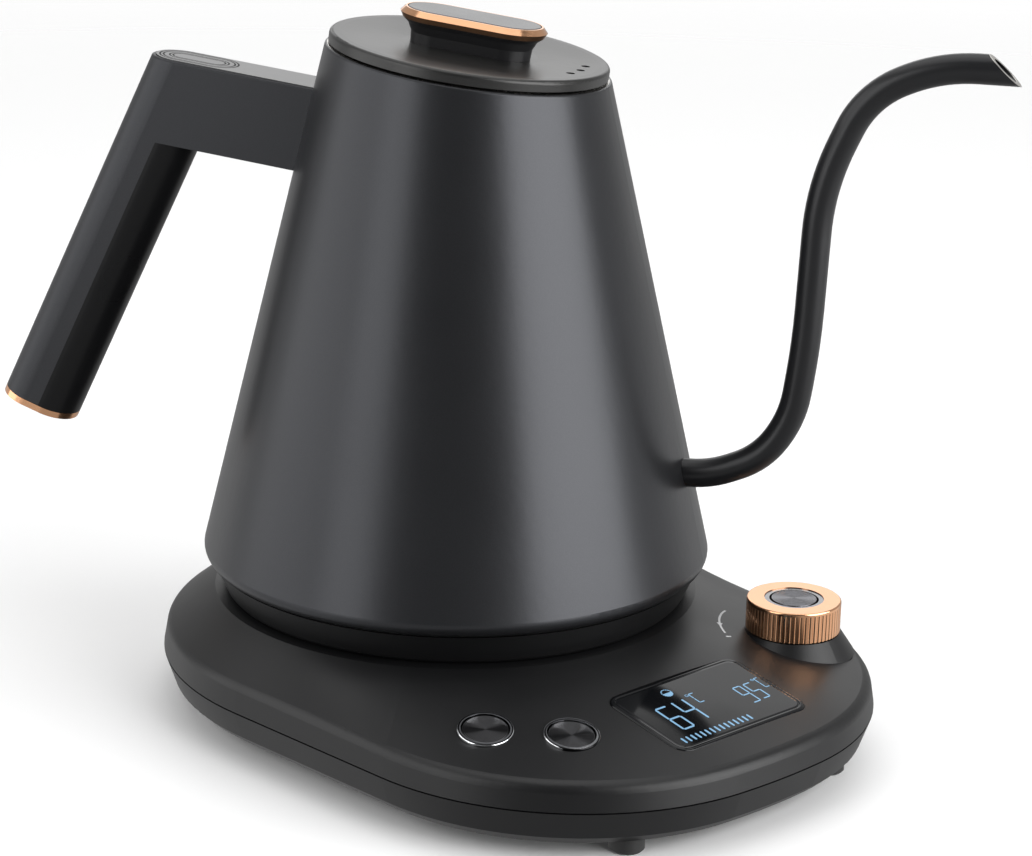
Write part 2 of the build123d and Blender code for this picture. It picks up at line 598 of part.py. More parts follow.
def make_kettle_bottom():
    """Steel floor, mouth ring, black bottom ring, heat plate, element, probe and cut-out."""
    floor = cone_solid(BODY_WALL, FLOOR_Z, FLOOR_Z + FLOOR_THICK)
    pieces["kettle_floor"] = floor
    mouth = cone_solid(BODY_WALL, TOP_Z - 20, TOP_Z + 10)
    mouth -= above(top_plane(-LID_GAP - 0.3))
    mouth &= above(top_plane(-LID_GAP - 0.3 - MOUTH_THICK))
    mouth -= top_plane(0).location * Cylinder(MOUTH_R, 20)
    pieces["mouth_ring"] = mouth
    inner = body_radius(RIM_Z) - RIM_FLANGE - TOUCH_GAP
    top = RIM_Z - TOUCH_GAP
    bevel = (RING_FOOT_R, RING_FOOT_Z + RING_EDGE)
    wall = [(SOCKET_R + RUN_GAP, RING_FOOT_Z), (RING_FOOT_R - RING_EDGE, RING_FOOT_Z), bevel,
            (RING_TOP_R, top), (inner, top), (inner, FLOOR_Z - 2 * TOUCH_GAP),
            (inner - RING_WALL, FLOOR_Z - 2 * TOUCH_GAP), (inner - RING_WALL - 2, RING_FOOT_Z + RING_WALL),
            (SOCKET_R + RUN_GAP, RING_FOOT_Z + RING_WALL)]
    pieces["bottom_ring"] = turned(wall)
    plate_low = FLOOR_Z - HEAT_PLATE_THICK
    pieces["heat_plate"] = disc(HEAT_PLATE_R, plate_low, FLOOR_Z)
    centre_z = plate_low - ELEMENT_TUBE_R - 0.05
    section = Plane.XZ * Pos(ELEMENT_R, centre_z) * Circle(ELEMENT_TUBE_R)
    element = Rot(0, 0, 30) * revolve(section, Axis.Z, revolution_arc=ELEMENT_SWEEP)
    pieces["heating_element"] = element
    probe_spot = (PROBE_X, 0)
    probe = disc(PROBE_R, plate_low - 5, plate_low, probe_spot)
    pieces["temperature_probe"] = probe + disc(PROBE_FLANGE_R, plate_low - 2, plate_low, probe_spot)
    cutout = Pos(CUTOUT_X, 0, plate_low) * Box(*CUTOUT_SIZE, align=(Align.CENTER, Align.CENTER, Align.MAX))
    cutout += disc(CUTOUT_R, plate_low - CUTOUT_R, plate_low, (CUTOUT_X, 0))
    pieces["boil_dry_cutout"] = cutout


def make_kettle_socket():
    """Kettle half of the connector: a puck with a cavity over the base plug."""
    puck = disc(SOCKET_R, RING_FOOT_Z + 0.2, SOCKET_TOP_Z)
    puck -= disc(PLUG_R + 0.6, RING_FOOT_Z - 1, PLUG_TOP_Z + 0.6)
    pieces["kettle_socket"] = puck


def spout_path():
    """Centreline of the spout: straight runs joined by tangent arcs."""
    points = [(x, 0, z) for x, z in SPOUT_PATH]
    radii = []
    for before, here, after in zip(points, points[1:], points[2:]):
        first = Vector(here) - Vector(before)
        second = Vector(after) - Vector(here)
        half_turn = math.radians(first.get_angle(second) / 2)
        radii.append(0.48 * min(first.length, second.length) / math.tan(half_turn))
    return FilletPolyline(*points, radius=radii)


def make_spout():
    """Gooseneck tube that starts on the cone and ends in a slanted cut."""
    path = spout_path()
    start = Plane(origin=path @ 0, z_dir=path % 0)
    tube = sweep(start * Circle(SPOUT_R), path=path)
    tube -= cone_solid(0, RIM_Z + 5, TOP_Z)
    tube -= sweep(start * Circle(SPOUT_BORE_R), path=path)
    lean = math.radians(SPOUT_CUT_ANGLE)
    cut = Plane(origin=(SPOUT_CUT[0], 0, SPOUT_CUT[1]), z_dir=(math.sin(lean), 0, math.cos(lean)))
    tube -= cut.location * Pos(0, 0, 20) * Box(60, 60, 40)
    pieces["spout"] = tube.solids().sort_by(SortBy.VOLUME)[-1]


# ---------------------------------------------------------------- handle

def handle_plane(drop=0.0):
    """Plane parallel to the slanted top, at the arm's top face."""
    lean = math.radians(TOP_TILT)
    normal = Vector(math.sin(lean), 0, math.cos(lean))
    origin = Vector(0, 0, HANDLE_Z) - normal * drop
    return Plane(origin=origin, x_dir=(math.cos(lean), 0, -math.sin(lean)), z_dir=normal)


def grip_plane():
    """Plane across the grip at its lower end: local Z runs up the grip."""
    lean = math.radians(GRIP_LEAN)
    up = (math.sin(lean), 0, math.cos(lean))
    return Plane(origin=(GRIP_END[0], 0, GRIP_END[1]), x_dir=(math.cos(lean), 0, -math.sin(lean)), z_dir=up)


def grip_end_cut(rise):
    """Block below the grip's end face, raised by a distance along the grip."""
    block = Box(80, 60, 60, align=(Align.CENTER, Align.CENTER, Align.MAX))
    return grip_plane().location * Pos(0, 0, rise) * Rot(0, -GRIP_END_TILT, 0) * block


def grip_solid(inset=0.0):
    """Grip of stadium section from its end face up to the arm's top."""
    face = SlotOverall(GRIP_DEPTH - 2 * inset, HANDLE_WIDTH - 2 * inset)
    bar = grip_plane().location * Pos(0, 0, -20) * extrude(face, amount=FAR)
    return bar - above(handle_plane())


def arm_solid(inset, top, bottom, end):
    """Flat bar of the arm between two drops below its top face, ending at local x = end."""
    length = -end
    bar = Box(length, HANDLE_WIDTH - 2 * inset, bottom - top, align=(Align.MAX, Align.CENTER, Align.MAX))
    return handle_plane(top).location * bar


def make_handle():
    """Shell of arm and grip, top inlay, grip liner, end cap, bracket and its screws."""
    hand_side = grip_plane().location * Box(FAR, FAR, FAR, align=(Align.MIN, Align.CENTER, Align.CENTER))
    arm = arm_solid(0, 0, ARM_H, GRIP_END[0]) & hand_side
    whole = arm + (grip_solid() - grip_end_cut(0))
    whole = whole.solids()[0] if isinstance(whole, ShapeList) else whole
    whole -= cone_solid(-TOUCH_GAP, RIM_Z, TOP_Z + 30)
    top_edges = [e for e in whole.edges() if abs(handle_plane().to_local_coords(e.center()).Z) < 0.05]
    clear_of_body = body_radius(HANDLE_Z) + 5
    long_edges = [e for e in top_edges if abs(e.center().X) > clear_of_body]
    whole = fillet(long_edges, HANDLE_ROUND)

    pocket_outline = arm_top_face(INLAY_INSET)
    pocket = handle_plane(INLAY_THICK - INLAY_PROUD).location * extrude(pocket_outline, amount=INLAY_THICK)
    inlay_outline = arm_top_face(INLAY_INSET + TOUCH_GAP)
    inlay = extrude(inlay_outline, amount=INLAY_THICK)
    inlay = handle_plane(INLAY_THICK - INLAY_PROUD - SOLDER_GAP).location * inlay
    inlay -= cone_solid(-2 * TOUCH_GAP, RIM_Z, TOP_Z + 30)

    liner_block = grip_plane().location * Pos(GRIP_DEPTH / 2 - LINER_DEPTH, 0, 0) * Box(
        40, 60, 400, align=(Align.MIN, Align.CENTER, Align.CENTER))
    liner = grip_solid() & liner_block
    liner -= grip_end_cut(END_CAP_THICK)
    liner &= handle_plane(ARM_H).location * Box(FAR, FAR, FAR, align=(Align.CENTER, Align.CENTER, Align.MAX))
    cap = (grip_solid() - grip_end_cut(0)) & grip_end_cut(END_CAP_THICK - TOUCH_GAP)

    shell = whole - pocket - grip_end_cut(END_CAP_THICK)
    shell -= liner_block & handle_plane(ARM_H).location * Box(
        FAR, FAR, FAR, align=(Align.CENTER, Align.CENTER, Align.MAX))
    side = (HANDLE_WIDTH - BRACKET_WIDTH) / 2
    top, bottom = (ARM_H - BRACKET_THICK) / 2, (ARM_H + BRACKET_THICK) / 2
    reach = -body_radius(HANDLE_Z) - BRACKET_LENGTH
    strap = arm_solid(side, top, bottom, reach)
    slot = arm_solid(side - TOUCH_GAP, top - TOUCH_GAP, bottom + TOUCH_GAP, reach - 0.5)
    shell -= slot
    strap -= cone_solid(0, RIM_Z, TOP_Z + 30)
    strap = strap.solids().sort_by(Axis.X)[0]
    screws = []
    for step in HANDLE_SCREW_STEPS:
        spot = handle_plane(ARM_H).location * Pos(-body_radius(HANDLE_Z) - step, 0, 0)
        up = ARM_H / 2 + BRACKET_THICK / 2 + 1
        shank = spot * disc(HANDLE_SCREW_R - TOUCH_GAP / 2, 0, up)
        head = spot * disc(HANDLE_SCREW_HEAD_R, 0, HANDLE_SCREW_HEAD_H)
        screws.append(head + shank)
        shell -= spot * disc(HANDLE_SCREW_R, 0, up + RUN_GAP)
        shell -= spot * disc(HANDLE_SCREW_HEAD_R + TOUCH_GAP, 0, HANDLE_SCREW_HEAD_H + TOUCH_GAP)
        strap -= spot * Cylinder(HANDLE_SCREW_R, 60)
    pieces["handle_shell"] = shell
    pieces["handle_inlay"] = inlay
    pieces["grip_liner"] = liner
    pieces["grip_end_cap"] = cap
    pieces["handle_bracket"] = strap
    pieces["handle_screws"] = Compound(screws)


def arm_top_face(inset):
    """Outline of the arm's top face in the handle plane, moved in: a strip with a half-ellipse at its end."""
    lean = math.radians(GRIP_LEAN - TOP_TILT)
    stretch = 1 / math.cos(lean)
    plane = handle_plane()
    grip = grip_plane()
    rise = (plane.origin - grip.origin).dot(plane.z_dir) / grip.z_dir.dot(plane.z_dir)
    centre = plane.to_local_coords(grip.origin + grip.z_dir * rise).X
    end_centre = centre - (GRIP_DEPTH - HANDLE_WIDTH) / 2 * stretch
    half_width = HANDLE_WIDTH / 2 - inset
    end = Pos(end_centre, 0) * Ellipse(half_width * stretch, half_width)
    near_end = -body_radius(HANDLE_Z) / 2
    strip = Rectangle(near_end - end_centre, 2 * half_width, align=(Align.MAX, Align.CENTER))
    return end + Pos(near_end, 0) * strip


# ---------------------------------------------------------------- lid

def make_lid():
    """Disc with steam holes, inner plug, silicone seal, knob stem, ring, inlay and screw."""
    plane = top_plane(0)
    low, high = LID_GAP, LID_GAP + LID_THICK
    dish_low = high - LID_DISH
    foot_r = GRIP_FOOT_LENGTH / 2 + 2
    dish = [(LID_R - 3, high), (foot_r, dish_low), (0, dish_low)]
    cover = turned([(0, low), (LID_R, low), (LID_R, high)] + dish)
    top_edges = [e for e in cover.edges() if abs(e.center().Z - high) < 0.01]
    cover = fillet([e for e in top_edges if e.length > 2 * math.pi * (LID_R - 1)], LID_ROUND)
    cover -= Cylinder(LID_SCREW_R + 0.2, 30)
    for i in (-1, 0, 1):
        cover -= Rot(0, 0, STEAM_TURN + i * STEAM_STEP) * disc(STEAM_R, low - 1, high + 1, (STEAM_X, 0))
    pieces["lid_disc"] = plane.location * cover

    cup = ring(PLUG_SKIRT_R, PLUG_SKIRT_R - PLUG_WALL, -PLUG_DEPTH, low)
    cup += disc(PLUG_SKIRT_R, -PLUG_DEPTH, -PLUG_DEPTH + PLUG_WALL)
    cup -= ring(PLUG_SKIRT_R + 1, PLUG_SKIRT_R - 0.6, -SEAL_DROP - SEAL_THICK, -SEAL_DROP)
    cup += disc(5, -PLUG_DEPTH, low)
    cup -= disc(LID_SCREW_R, -PLUG_DEPTH + 3, low + 5)
    for i in range(PLUG_VENTS):
        vent = disc(PLUG_VENT_R, -PLUG_DEPTH - 1, -PLUG_DEPTH + 3, (PLUG_VENT_RING_R, 0))
        cup -= Rot(0, 0, 360 / PLUG_VENTS * i) * vent
    pieces["lid_plug"] = plane.location * cup
    lip = MOUTH_R - RUN_GAP
    pieces["lid_seal"] = plane.location * ring(lip, PLUG_SKIRT_R - 0.5, -SEAL_DROP - SEAL_THICK + 0.1,
                                               -SEAL_DROP - 0.1)

    stem_low = dish_low + 0.02
    stem_high = stem_low + GRIP_STEM_H
    foot = Pos(0, 0, stem_low) * SlotOverall(GRIP_FOOT_LENGTH, GRIP_FOOT_WIDTH)
    waist_face = SlotOverall(GRIP_FOOT_LENGTH + 0.4, GRIP_FOOT_WIDTH + 0.4)
    waist = Pos(0, 0, stem_low + 0.45 * GRIP_STEM_H) * waist_face
    neck_face = SlotOverall(GRIP_FOOT_LENGTH + 2.6, GRIP_FOOT_WIDTH + 2.4)
    neck = Pos(0, 0, stem_low + 0.8 * GRIP_STEM_H) * neck_face
    head = Pos(0, 0, stem_high) * SlotOverall(GRIP_LENGTH - 1.6, GRIP_WIDTH - 1.6)
    stem = loft([foot, waist], ruled=True) + loft([waist, neck], ruled=True) + loft([neck, head], ruled=True)
    stem -= disc(LID_SCREW_R, 0, stem_high - 1.5)
    pieces["lid_knob_stem"] = plane.location * stem

    ring_low = stem_high + 0.02
    ring_high = ring_low + GRIP_RING_H
    ring_mid = ring_low + 0.5 * GRIP_RING_H
    lower = Pos(0, 0, ring_low) * SlotOverall(GRIP_LENGTH - 1.6, GRIP_WIDTH - 1.6)
    middle = Pos(0, 0, ring_mid) * SlotOverall(GRIP_LENGTH, GRIP_WIDTH)
    rim_width = (GRIP_LENGTH - GRIP_FACE_LENGTH) / 2
    upper = Pos(0, 0, ring_high) * SlotOverall(GRIP_FACE_LENGTH + 1.0, GRIP_WIDTH - 2 * rim_width + 1.0)
    band = loft([lower, middle], ruled=True) + loft([middle, upper], ruled=True)
    face = SlotOverall(GRIP_FACE_LENGTH, GRIP_WIDTH - 2 * rim_width)
    band -= Pos(0, 0, ring_low + 1.2) * extrude(face, amount=10)
    pieces["lid_knob_ring"] = plane.location * band
    inset_face = SlotOverall(GRIP_FACE_LENGTH - 0.2, GRIP_WIDTH - 2 * rim_width - 0.2)
    inlay = Pos(0, 0, ring_low + 1.25) * extrude(inset_face, amount=GRIP_RING_H - 1.15)
    inlay = fillet(inlay.edges().group_by(Axis.Z)[-1], 0.5)
    pieces["lid_knob_inlay"] = plane.location * inlay
    screw = disc(LID_SCREW_R - 0.05, -PLUG_DEPTH + 3.2, stem_high - 1.7)
    pieces["lid_screw"] = plane.location * screw


# ---------------------------------------------------------------- build and write

make_base_cover()
make_base_housing()
make_base_fittings()
make_display()
make_push_buttons()
make_control_board()
make_knob()
make_power_board()
make_base_plug()
for name in pieces:
    pieces[name] = Rot(0, 0, BASE_TURN) * pieces[name]
make_kettle_body()
make_kettle_bottom()
make_kettle_socket()
make_spout()
make_handle()
make_lid()

solids = [solid for piece in pieces.values() for solid in piece.solids()]
box = Compound(solids).bounding_box()
shift = Pos(-(box.min.X + box.max.X) / 2, -(box.min.Y + box.max.Y) / 2, -box.min.Z)
print("origin shift", shift.position)
os.makedirs("parts", exist_ok=True)
for name, piece in pieces.items():
    group = piece.solids()
    moved = shift * (group[0] if len(group) == 1 else Compound(group))
    moved.label = name
    export_step(moved, os.path.join("parts", name + ".step"))
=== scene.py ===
import json
import math

import bpy
import numpy as np
from mathutils import Matrix, Vector


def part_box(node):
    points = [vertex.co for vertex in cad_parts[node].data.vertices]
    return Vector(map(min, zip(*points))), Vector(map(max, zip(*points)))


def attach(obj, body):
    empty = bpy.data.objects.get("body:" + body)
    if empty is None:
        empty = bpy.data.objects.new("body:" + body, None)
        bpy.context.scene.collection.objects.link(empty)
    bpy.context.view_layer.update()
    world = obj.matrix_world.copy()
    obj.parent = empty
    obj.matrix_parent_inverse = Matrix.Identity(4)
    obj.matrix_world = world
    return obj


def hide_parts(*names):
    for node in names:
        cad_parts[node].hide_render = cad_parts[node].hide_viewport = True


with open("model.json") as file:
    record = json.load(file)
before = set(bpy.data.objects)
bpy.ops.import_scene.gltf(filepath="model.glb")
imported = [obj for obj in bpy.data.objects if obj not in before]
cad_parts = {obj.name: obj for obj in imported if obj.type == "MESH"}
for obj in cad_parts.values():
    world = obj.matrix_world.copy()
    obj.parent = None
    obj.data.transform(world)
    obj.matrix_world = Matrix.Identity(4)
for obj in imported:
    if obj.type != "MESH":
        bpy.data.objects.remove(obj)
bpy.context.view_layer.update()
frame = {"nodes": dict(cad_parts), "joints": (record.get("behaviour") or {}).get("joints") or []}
MM = 0.001

# ---- Kettle shell
# A steel cone, deep drawn and spun, with a rolled rim round its slanted mouth. Outside it
# carries a satin charcoal powder coat with a fine metal flake; inside the steel is bare.


class Value:
    """A number worked out at every point of a surface; arithmetic on it adds Math nodes."""

    def __init__(self, finish, socket):
        self.finish = finish
        self.socket = socket

    def math(self, operation, *numbers):
        return self.finish.node("Math", {"operation": operation}, dict(enumerate(numbers)))

    def __add__(self, other):
        return self.math("ADD", self, other)

    def __radd__(self, other):
        return self.math("ADD", other, self)

    def __sub__(self, other):
        return self.math("SUBTRACT", self, other)

    def __rsub__(self, other):
        return self.math("SUBTRACT", other, self)

    def __mul__(self, other):
        return self.math("MULTIPLY", self, other)

    def __rmul__(self, other):
        return self.math("MULTIPLY", other, self)

    def __truediv__(self, other):
        return self.math("DIVIDE", self, other)

    def __pow__(self, other):
        return self.math("POWER", self, other)

    def __gt__(self, other):
        return self.math("GREATER_THAN", self, other)

    def __lt__(self, other):
        return self.math("LESS_THAN", self, other)

    def __abs__(self):
        return self.math("ABSOLUTE", self)


class Finish:
    """A procedural material with one Principled surface; node() adds any other node."""

    def __init__(self, name, colour, roughness, **constants):
        self.material = bpy.data.materials.new(name)
        self.material.use_nodes = True
        self.tree = self.material.node_tree
        self.surface = self.tree.nodes["Principled BSDF"]
        self.place = self.node("TexCoord", output="Object")
        self.set("Base Color", colour)
        self.set("Roughness", roughness)
        for socket, value in constants.items():
            self.set(socket.replace("_", " "), value)

    def node(self, kind, settings=None, sockets=None, output=0):
        made = self.tree.nodes.new("ShaderNode" + kind)
        for name, value in (settings or {}).items():
            setattr(made, name, value)
        for name, value in (sockets or {}).items():
            self.join(made.inputs[name], value)
        return Value(self, made.outputs[output])

    def join(self, socket, value):
        if isinstance(value, Value):
            self.tree.links.new(value.socket, socket)
        elif socket.type == "RGBA" and len(value) == 3:
            socket.default_value = (*value, 1)
        else:
            socket.default_value = value

    def set(self, name, value):
        self.join(self.surface.inputs[name], value)

    def joined(self, name):
        """The value that already feeds one of the surface's sockets."""
        return Value(self, self.surface.inputs[name].links[0].from_socket)

    def axes(self):
        """The three object coordinates of the point, in metres."""
        return [self.node("SeparateXYZ", sockets={0: self.place}, output=i) for i in range(3)]

    def stretched(self, scale):
        """The point with each coordinate multiplied, to draw a pattern out along an axis."""
        return self.node("VectorMath", {"operation": "MULTIPLY"}, {0: self.place, 1: scale})

    def noise(self, per_metre, detail=2.0, place=None):
        """Smooth random number about 0.5, with so many cells in a metre."""
        sockets = {"Vector": place or self.place, "Scale": per_metre, "Detail": detail}
        return self.node("TexNoise", sockets=sockets)

    def mix(self, factor, first, second):
        """Colour that goes from the first to the second as the factor goes from 0 to 1."""
        settings = {"data_type": "RGBA", "clamp_factor": True}
        return self.node("Mix", settings, {0: factor, 6: first, 7: second}, output=2)

    def between(self, value, low, high, to_low=0.0, to_high=1.0):
        """The value carried from one range to another and kept inside it."""
        sockets = {0: value, 1: low, 2: high, 3: to_low, 4: to_high}
        return self.node("MapRange", {"clamp": True}, sockets)

    def relief(self, height, depth, under=None):
        """Normal tipped by a height map, with depth in metres between its 0 and 1."""
        sockets = {"Height": height, "Distance": depth, "Strength": 1.0}
        if under:
            sockets["Normal"] = under
        return self.node("Bump", sockets=sockets)

    def radius_about(self, centre, axis):
        """Distance of the point from the line through the centre along the unit axis."""
        offset = self.node("VectorMath", {"operation": "SUBTRACT"}, {0: self.place, 1: centre})
        along = self.node("VectorMath", {"operation": "DOT_PRODUCT"}, {0: offset, 1: axis}, "Value")
        length = self.node("VectorMath", {"operation": "LENGTH"}, {0: offset}, "Value")
        return (length * length - along * along) ** 0.5

    def math_wave(self, value, pitch):
        """Cosine of a length, one wave to each pitch, carried to 0..1."""
        return self.node("Math", {"operation": "COSINE"}, {0: value * (2 * math.pi / pitch)}) * 0.5 + 0.5

    def dress(self, *nodes):
        """Gives the finish to CAD nodes."""
        for name in nodes:
            for material_slot in frame["nodes"][name].material_slots:
                material_slot.material = self.material


def shade(colour, factor):
    return tuple(min(1.0, c * factor) for c in colour)


def coated(name, colour, roughness, metallic, flake, peel):
    """Sprayed coat: tone and gloss drift slowly, flake makes a fine grain, peel a soft ripple."""
    paint = Finish(name, colour, roughness, Metallic=metallic)
    drift = paint.noise(22.0, 3.0)
    grain = paint.noise(3200.0, 1.0)
    tone = paint.mix(drift, shade(colour, 0.94), shade(colour, 1.06))
    light = paint.between(grain, 0.35, 0.7)
    paint.set("Base Color", paint.mix(light * flake, tone, shade(colour, 1.7)))
    paint.set("Roughness", paint.between(drift, 0.3, 0.7, roughness - 0.02, roughness + 0.02))
    ripple = paint.relief(paint.noise(420.0, 1.0), peel)
    paint.set("Normal", paint.relief(grain, peel * 0.3, ripple))
    return paint


CHARCOAL = (0.040, 0.041, 0.0445)
CHARCOAL_GLOSS = 0.32
STEEL = (0.62, 0.60, 0.57)
SHELL_R = 74.0 * MM            # outside radius at SHELL_Z
SHELL_Z = 36.5 * MM
SHELL_SLOPE = 0.2389
SHELL_WALL = 1.2 * MM
SHELL_FLOOR_Z = 47.0 * MM
ring_low, ring_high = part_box("bottom_ring")
AXIS = Vector(((ring_low.x + ring_high.x) / 2, (ring_low.y + ring_high.y) / 2, 0))
shell = coated("charcoal_coat_shell", CHARCOAL, CHARCOAL_GLOSS, 0.8, 0.16, 0.02 * MM)
x, y, z = shell.axes()
from_axis = shell.radius_about(AXIS, (0, 0, 1))
outside_r = SHELL_R - SHELL_SLOPE * (z - SHELL_Z)
inside = (from_axis < outside_r - SHELL_WALL / 2) * (z > SHELL_FLOOR_Z)
lathe_marks = shell.noise(1.0, 2.0, shell.stretched((60, 60, 2500)))
shell.set("Base Color", shell.mix(inside, shell.joined("Base Color"), STEEL))
shell.set("Roughness", shell.joined("Roughness") * (1 - inside) + (lathe_marks * 0.2 + 0.18) * inside)
shell.set("Metallic", inside * 0.2 + 0.8)
shell.dress("kettle_body")

# ---- Inside of the kettle
# Bare steel: the floor and mouth ring are turned in fine grooves, and the probe, the
# sheathed element and the screws are brushed. Floor and ring are welded to the shell.


def brushed(name, colour, roughness, stretch, depth):
    """Bare metal with fine scratches drawn out along one axis by unequal stretch."""
    metal = Finish(name, colour, roughness, Metallic=1.0)
    line = metal.noise(1.0, 3.0, metal.stretched(stretch))
    stain = metal.noise(60.0, 3.0)
    metal.set("Base Color", metal.mix(stain, shade(colour, 0.9), shade(colour, 1.06)))
    metal.set("Roughness", metal.between(line, 0.3, 0.7, roughness - 0.06, roughness + 0.08))
    metal.set("Normal", metal.relief(line, depth))
    return metal


def turned(name, colour, roughness, centre, axis, pitch, depth):
    """Metal faced on a lathe: grooves are a cosine of the distance from the axis."""
    metal = Finish(name, colour, roughness, Metallic=1.0)
    radius = metal.radius_about(centre, axis)
    groove = metal.math_wave(radius, pitch)
    drift = metal.noise(160.0, 3.0)
    metal.set("Base Color", metal.mix(drift, shade(colour, 0.9), shade(colour, 1.08)))
    metal.set("Roughness", metal.between(drift, 0.3, 0.7, roughness - 0.04, roughness + 0.06))
    metal.set("Normal", metal.relief(groove, depth))
    return metal


def spun(name, colour, roughness, centre, axis, pitch, tilt):
    """Metal faced in fine rings, for parts that never turn: the normal leans out and in along
    the radius by a sine of the distance from the axis."""
    metal = Finish(name, colour, roughness, Metallic=1.0)
    offset = metal.node("VectorMath", {"operation": "SUBTRACT"}, {0: metal.place, 1: centre})
    along = metal.node("VectorMath", {"operation": "DOT_PRODUCT"}, {0: offset, 1: axis}, "Value")
    rise = metal.node("VectorMath", {"operation": "SCALE"}, {0: axis, "Scale": along})
    spoke = metal.node("VectorMath", {"operation": "SUBTRACT"}, {0: offset, 1: rise})
    radius = metal.node("VectorMath", {"operation": "LENGTH"}, {0: spoke}, "Value")
    outward = metal.node("VectorMath", {"operation": "NORMALIZE"}, {0: spoke})
    wave = metal.node("Math", {"operation": "SINE"}, {0: radius * (2 * math.pi / pitch)}) * tilt
    lean = metal.node("VectorMath", {"operation": "SCALE"}, {0: outward, "Scale": wave})
    face = metal.node("NewGeometry", output="Normal")
    tipped = metal.node("VectorMath", {"operation": "ADD"}, {0: face, 1: lean})
    metal.set("Normal", metal.node("VectorMath", {"operation": "NORMALIZE"}, {0: tipped}))
    drift = metal.noise(160.0, 3.0)
    metal.set("Base Color", metal.mix(drift, shade(colour, 0.9), shade(colour, 1.08)))
    metal.set("Roughness", metal.between(drift, 0.3, 0.7, roughness - 0.04, roughness + 0.06))
    return metal


floor_metal = turned("spun_steel_floor", STEEL, 0.24, AXIS, (0, 0, 1), 0.6 * MM, 0.004 * MM)
floor_metal.dress("kettle_floor", "mouth_ring")
probe_metal = brushed("brushed_steel_probe", STEEL, 0.22, (900, 900, 40), 0.002 * MM)
probe_metal.dress("temperature_probe", "heating_element", "handle_screws", "lid_screw")

# ---- Heater and connector under the floor
# A cast aluminium heat plate carries the sheathed element, a thermal cut-out and the
# round glass-filled connector; the black bottom ring snaps over the shell's rim.


def moulded(name, colour, roughness, grain, depth, **constants):
    """Moulded plastic or rubber: spark-eroded grain, with gloss and tone that drift slowly."""
    plastic = Finish(name, colour, roughness, **constants)
    drift = plastic.noise(35.0, 3.0)
    texture = plastic.noise(grain, 2.0)
    plastic.set("Base Color", plastic.mix(drift, shade(colour, 0.88), shade(colour, 1.12)))
    plastic.set("Roughness", plastic.between(drift, 0.3, 0.7, roughness - 0.03, roughness + 0.04))
    plastic.set("Normal", plastic.relief(texture, depth))
    return plastic


BLACK = (0.0045, 0.0046, 0.005)
cast = brushed("cast_aluminium", (0.5, 0.5, 0.5), 0.5, (700, 700, 700), 0.02 * MM)
cast.dress("heat_plate", "handle_bracket")
connector = moulded("connector_plastic", (0.02, 0.02, 0.021), 0.42, 2400.0, 0.006 * MM)
connector.dress("kettle_socket", "base_plug", "boil_dry_cutout", "tact_switches", "knob_switch")
contacts = brushed("brass_contacts", (0.72, 0.52, 0.2), 0.25, (1500, 1500, 300), 0.002 * MM)
contacts.dress("contact_rings")
ring_plastic = moulded("ring_plastic", BLACK, 0.36, 1900.0, 0.006 * MM)
ring_plastic.dress("bottom_ring")

# ---- Spout
# An 8 mm steel tube bent to a gooseneck and welded to the shell, in satin black; the slant
# cut at its tip is left bare and ground.
SPOUT_BLACK = (0.012, 0.0122, 0.0135)
CUT_ANGLE = math.radians(42.5)
CUT_DEPTH = 0.12 * MM


def points_of(node):
    """All vertices of a CAD node as rows of x, y, z."""
    mesh = frame["nodes"][node].data
    flat = np.empty(len(mesh.vertices) * 3)
    mesh.vertices.foreach_get("co", flat)
    return flat.reshape(-1, 3)


cut_normal = Vector((math.sin(CUT_ANGLE), 0, math.cos(CUT_ANGLE)))
cut_reach = (points_of("spout") @ np.array(cut_normal)).max()
tube = coated("satin_black_spout", SPOUT_BLACK, 0.33, 0.35, 0.1, 0.012 * MM)
past = tube.node("VectorMath", {"operation": "DOT_PRODUCT"}, {0: tube.place, 1: cut_normal}, "Value")
bare = past > float(cut_reach - CUT_DEPTH)
tube.set("Base Color", tube.mix(bare, tube.joined("Base Color"), STEEL))
tube.set("Metallic", bare * 0.65 + 0.35)
tube.dress("spout")

# ---- Lid
# A dished steel lid in the same charcoal, with a silicone seal on the black plug that goes
# down the mouth, and three steam holes towards the spout.
LID_CHARCOAL = (0.042, 0.0418, 0.0412)
lid_paint = coated("charcoal_coat_lid", LID_CHARCOAL, 0.33, 0.8, 0.16, 0.014 * MM)
lid_paint.dress("lid_disc")
plug_plastic = moulded("plug_plastic", (0.016, 0.016, 0.016), 0.4, 1800.0, 0.01 * MM)
plug_plastic.dress("lid_plug")
silicone = moulded("grey_silicone", (0.35, 0.35, 0.34), 0.55, 900.0, 0.01 * MM, Subsurface_Weight=0.1)
silicone.dress("lid_seal")

# ---- Lid knob
# A dark flared stem, screwed up through the lid, carries a polished copper ring, and a dark
# satin inlay is pressed into the ring.
COPPER = (0.80, 0.44, 0.25)


def polished(name, colour, roughness, stretch):
    """Plated and polished metal: hairline wiping marks, and a slow drift of tone and gloss."""
    metal = Finish(name, colour, roughness, Metallic=1.0)
    hair = metal.noise(1.0, 4.0, metal.stretched(stretch))
    drift = metal.noise(90.0, 2.0)
    metal.set("Base Color", metal.mix(drift, shade(colour, 0.93), shade(colour, 1.05)))
    metal.set("Roughness", metal.between(hair, 0.3, 0.75, roughness, roughness + 0.08))
    metal.set("Normal", metal.relief(hair, 0.0012 * MM))
    return metal


stem_black = moulded("stem_black", (0.014, 0.014, 0.015), 0.3, 1500.0, 0.003 * MM)
stem_black.dress("lid_knob_stem")
copper_ring = polished("copper_lid_ring", COPPER, 0.12, (400, 400, 3000))
copper_ring.dress("lid_knob_ring")
inlay_gloss = moulded("inlay_gloss", (0.03, 0.031, 0.034), 0.22, 500.0, 0.002 * MM,
                      Specular_IOR_Level=0.25)
inlay_gloss.dress("lid_knob_inlay")

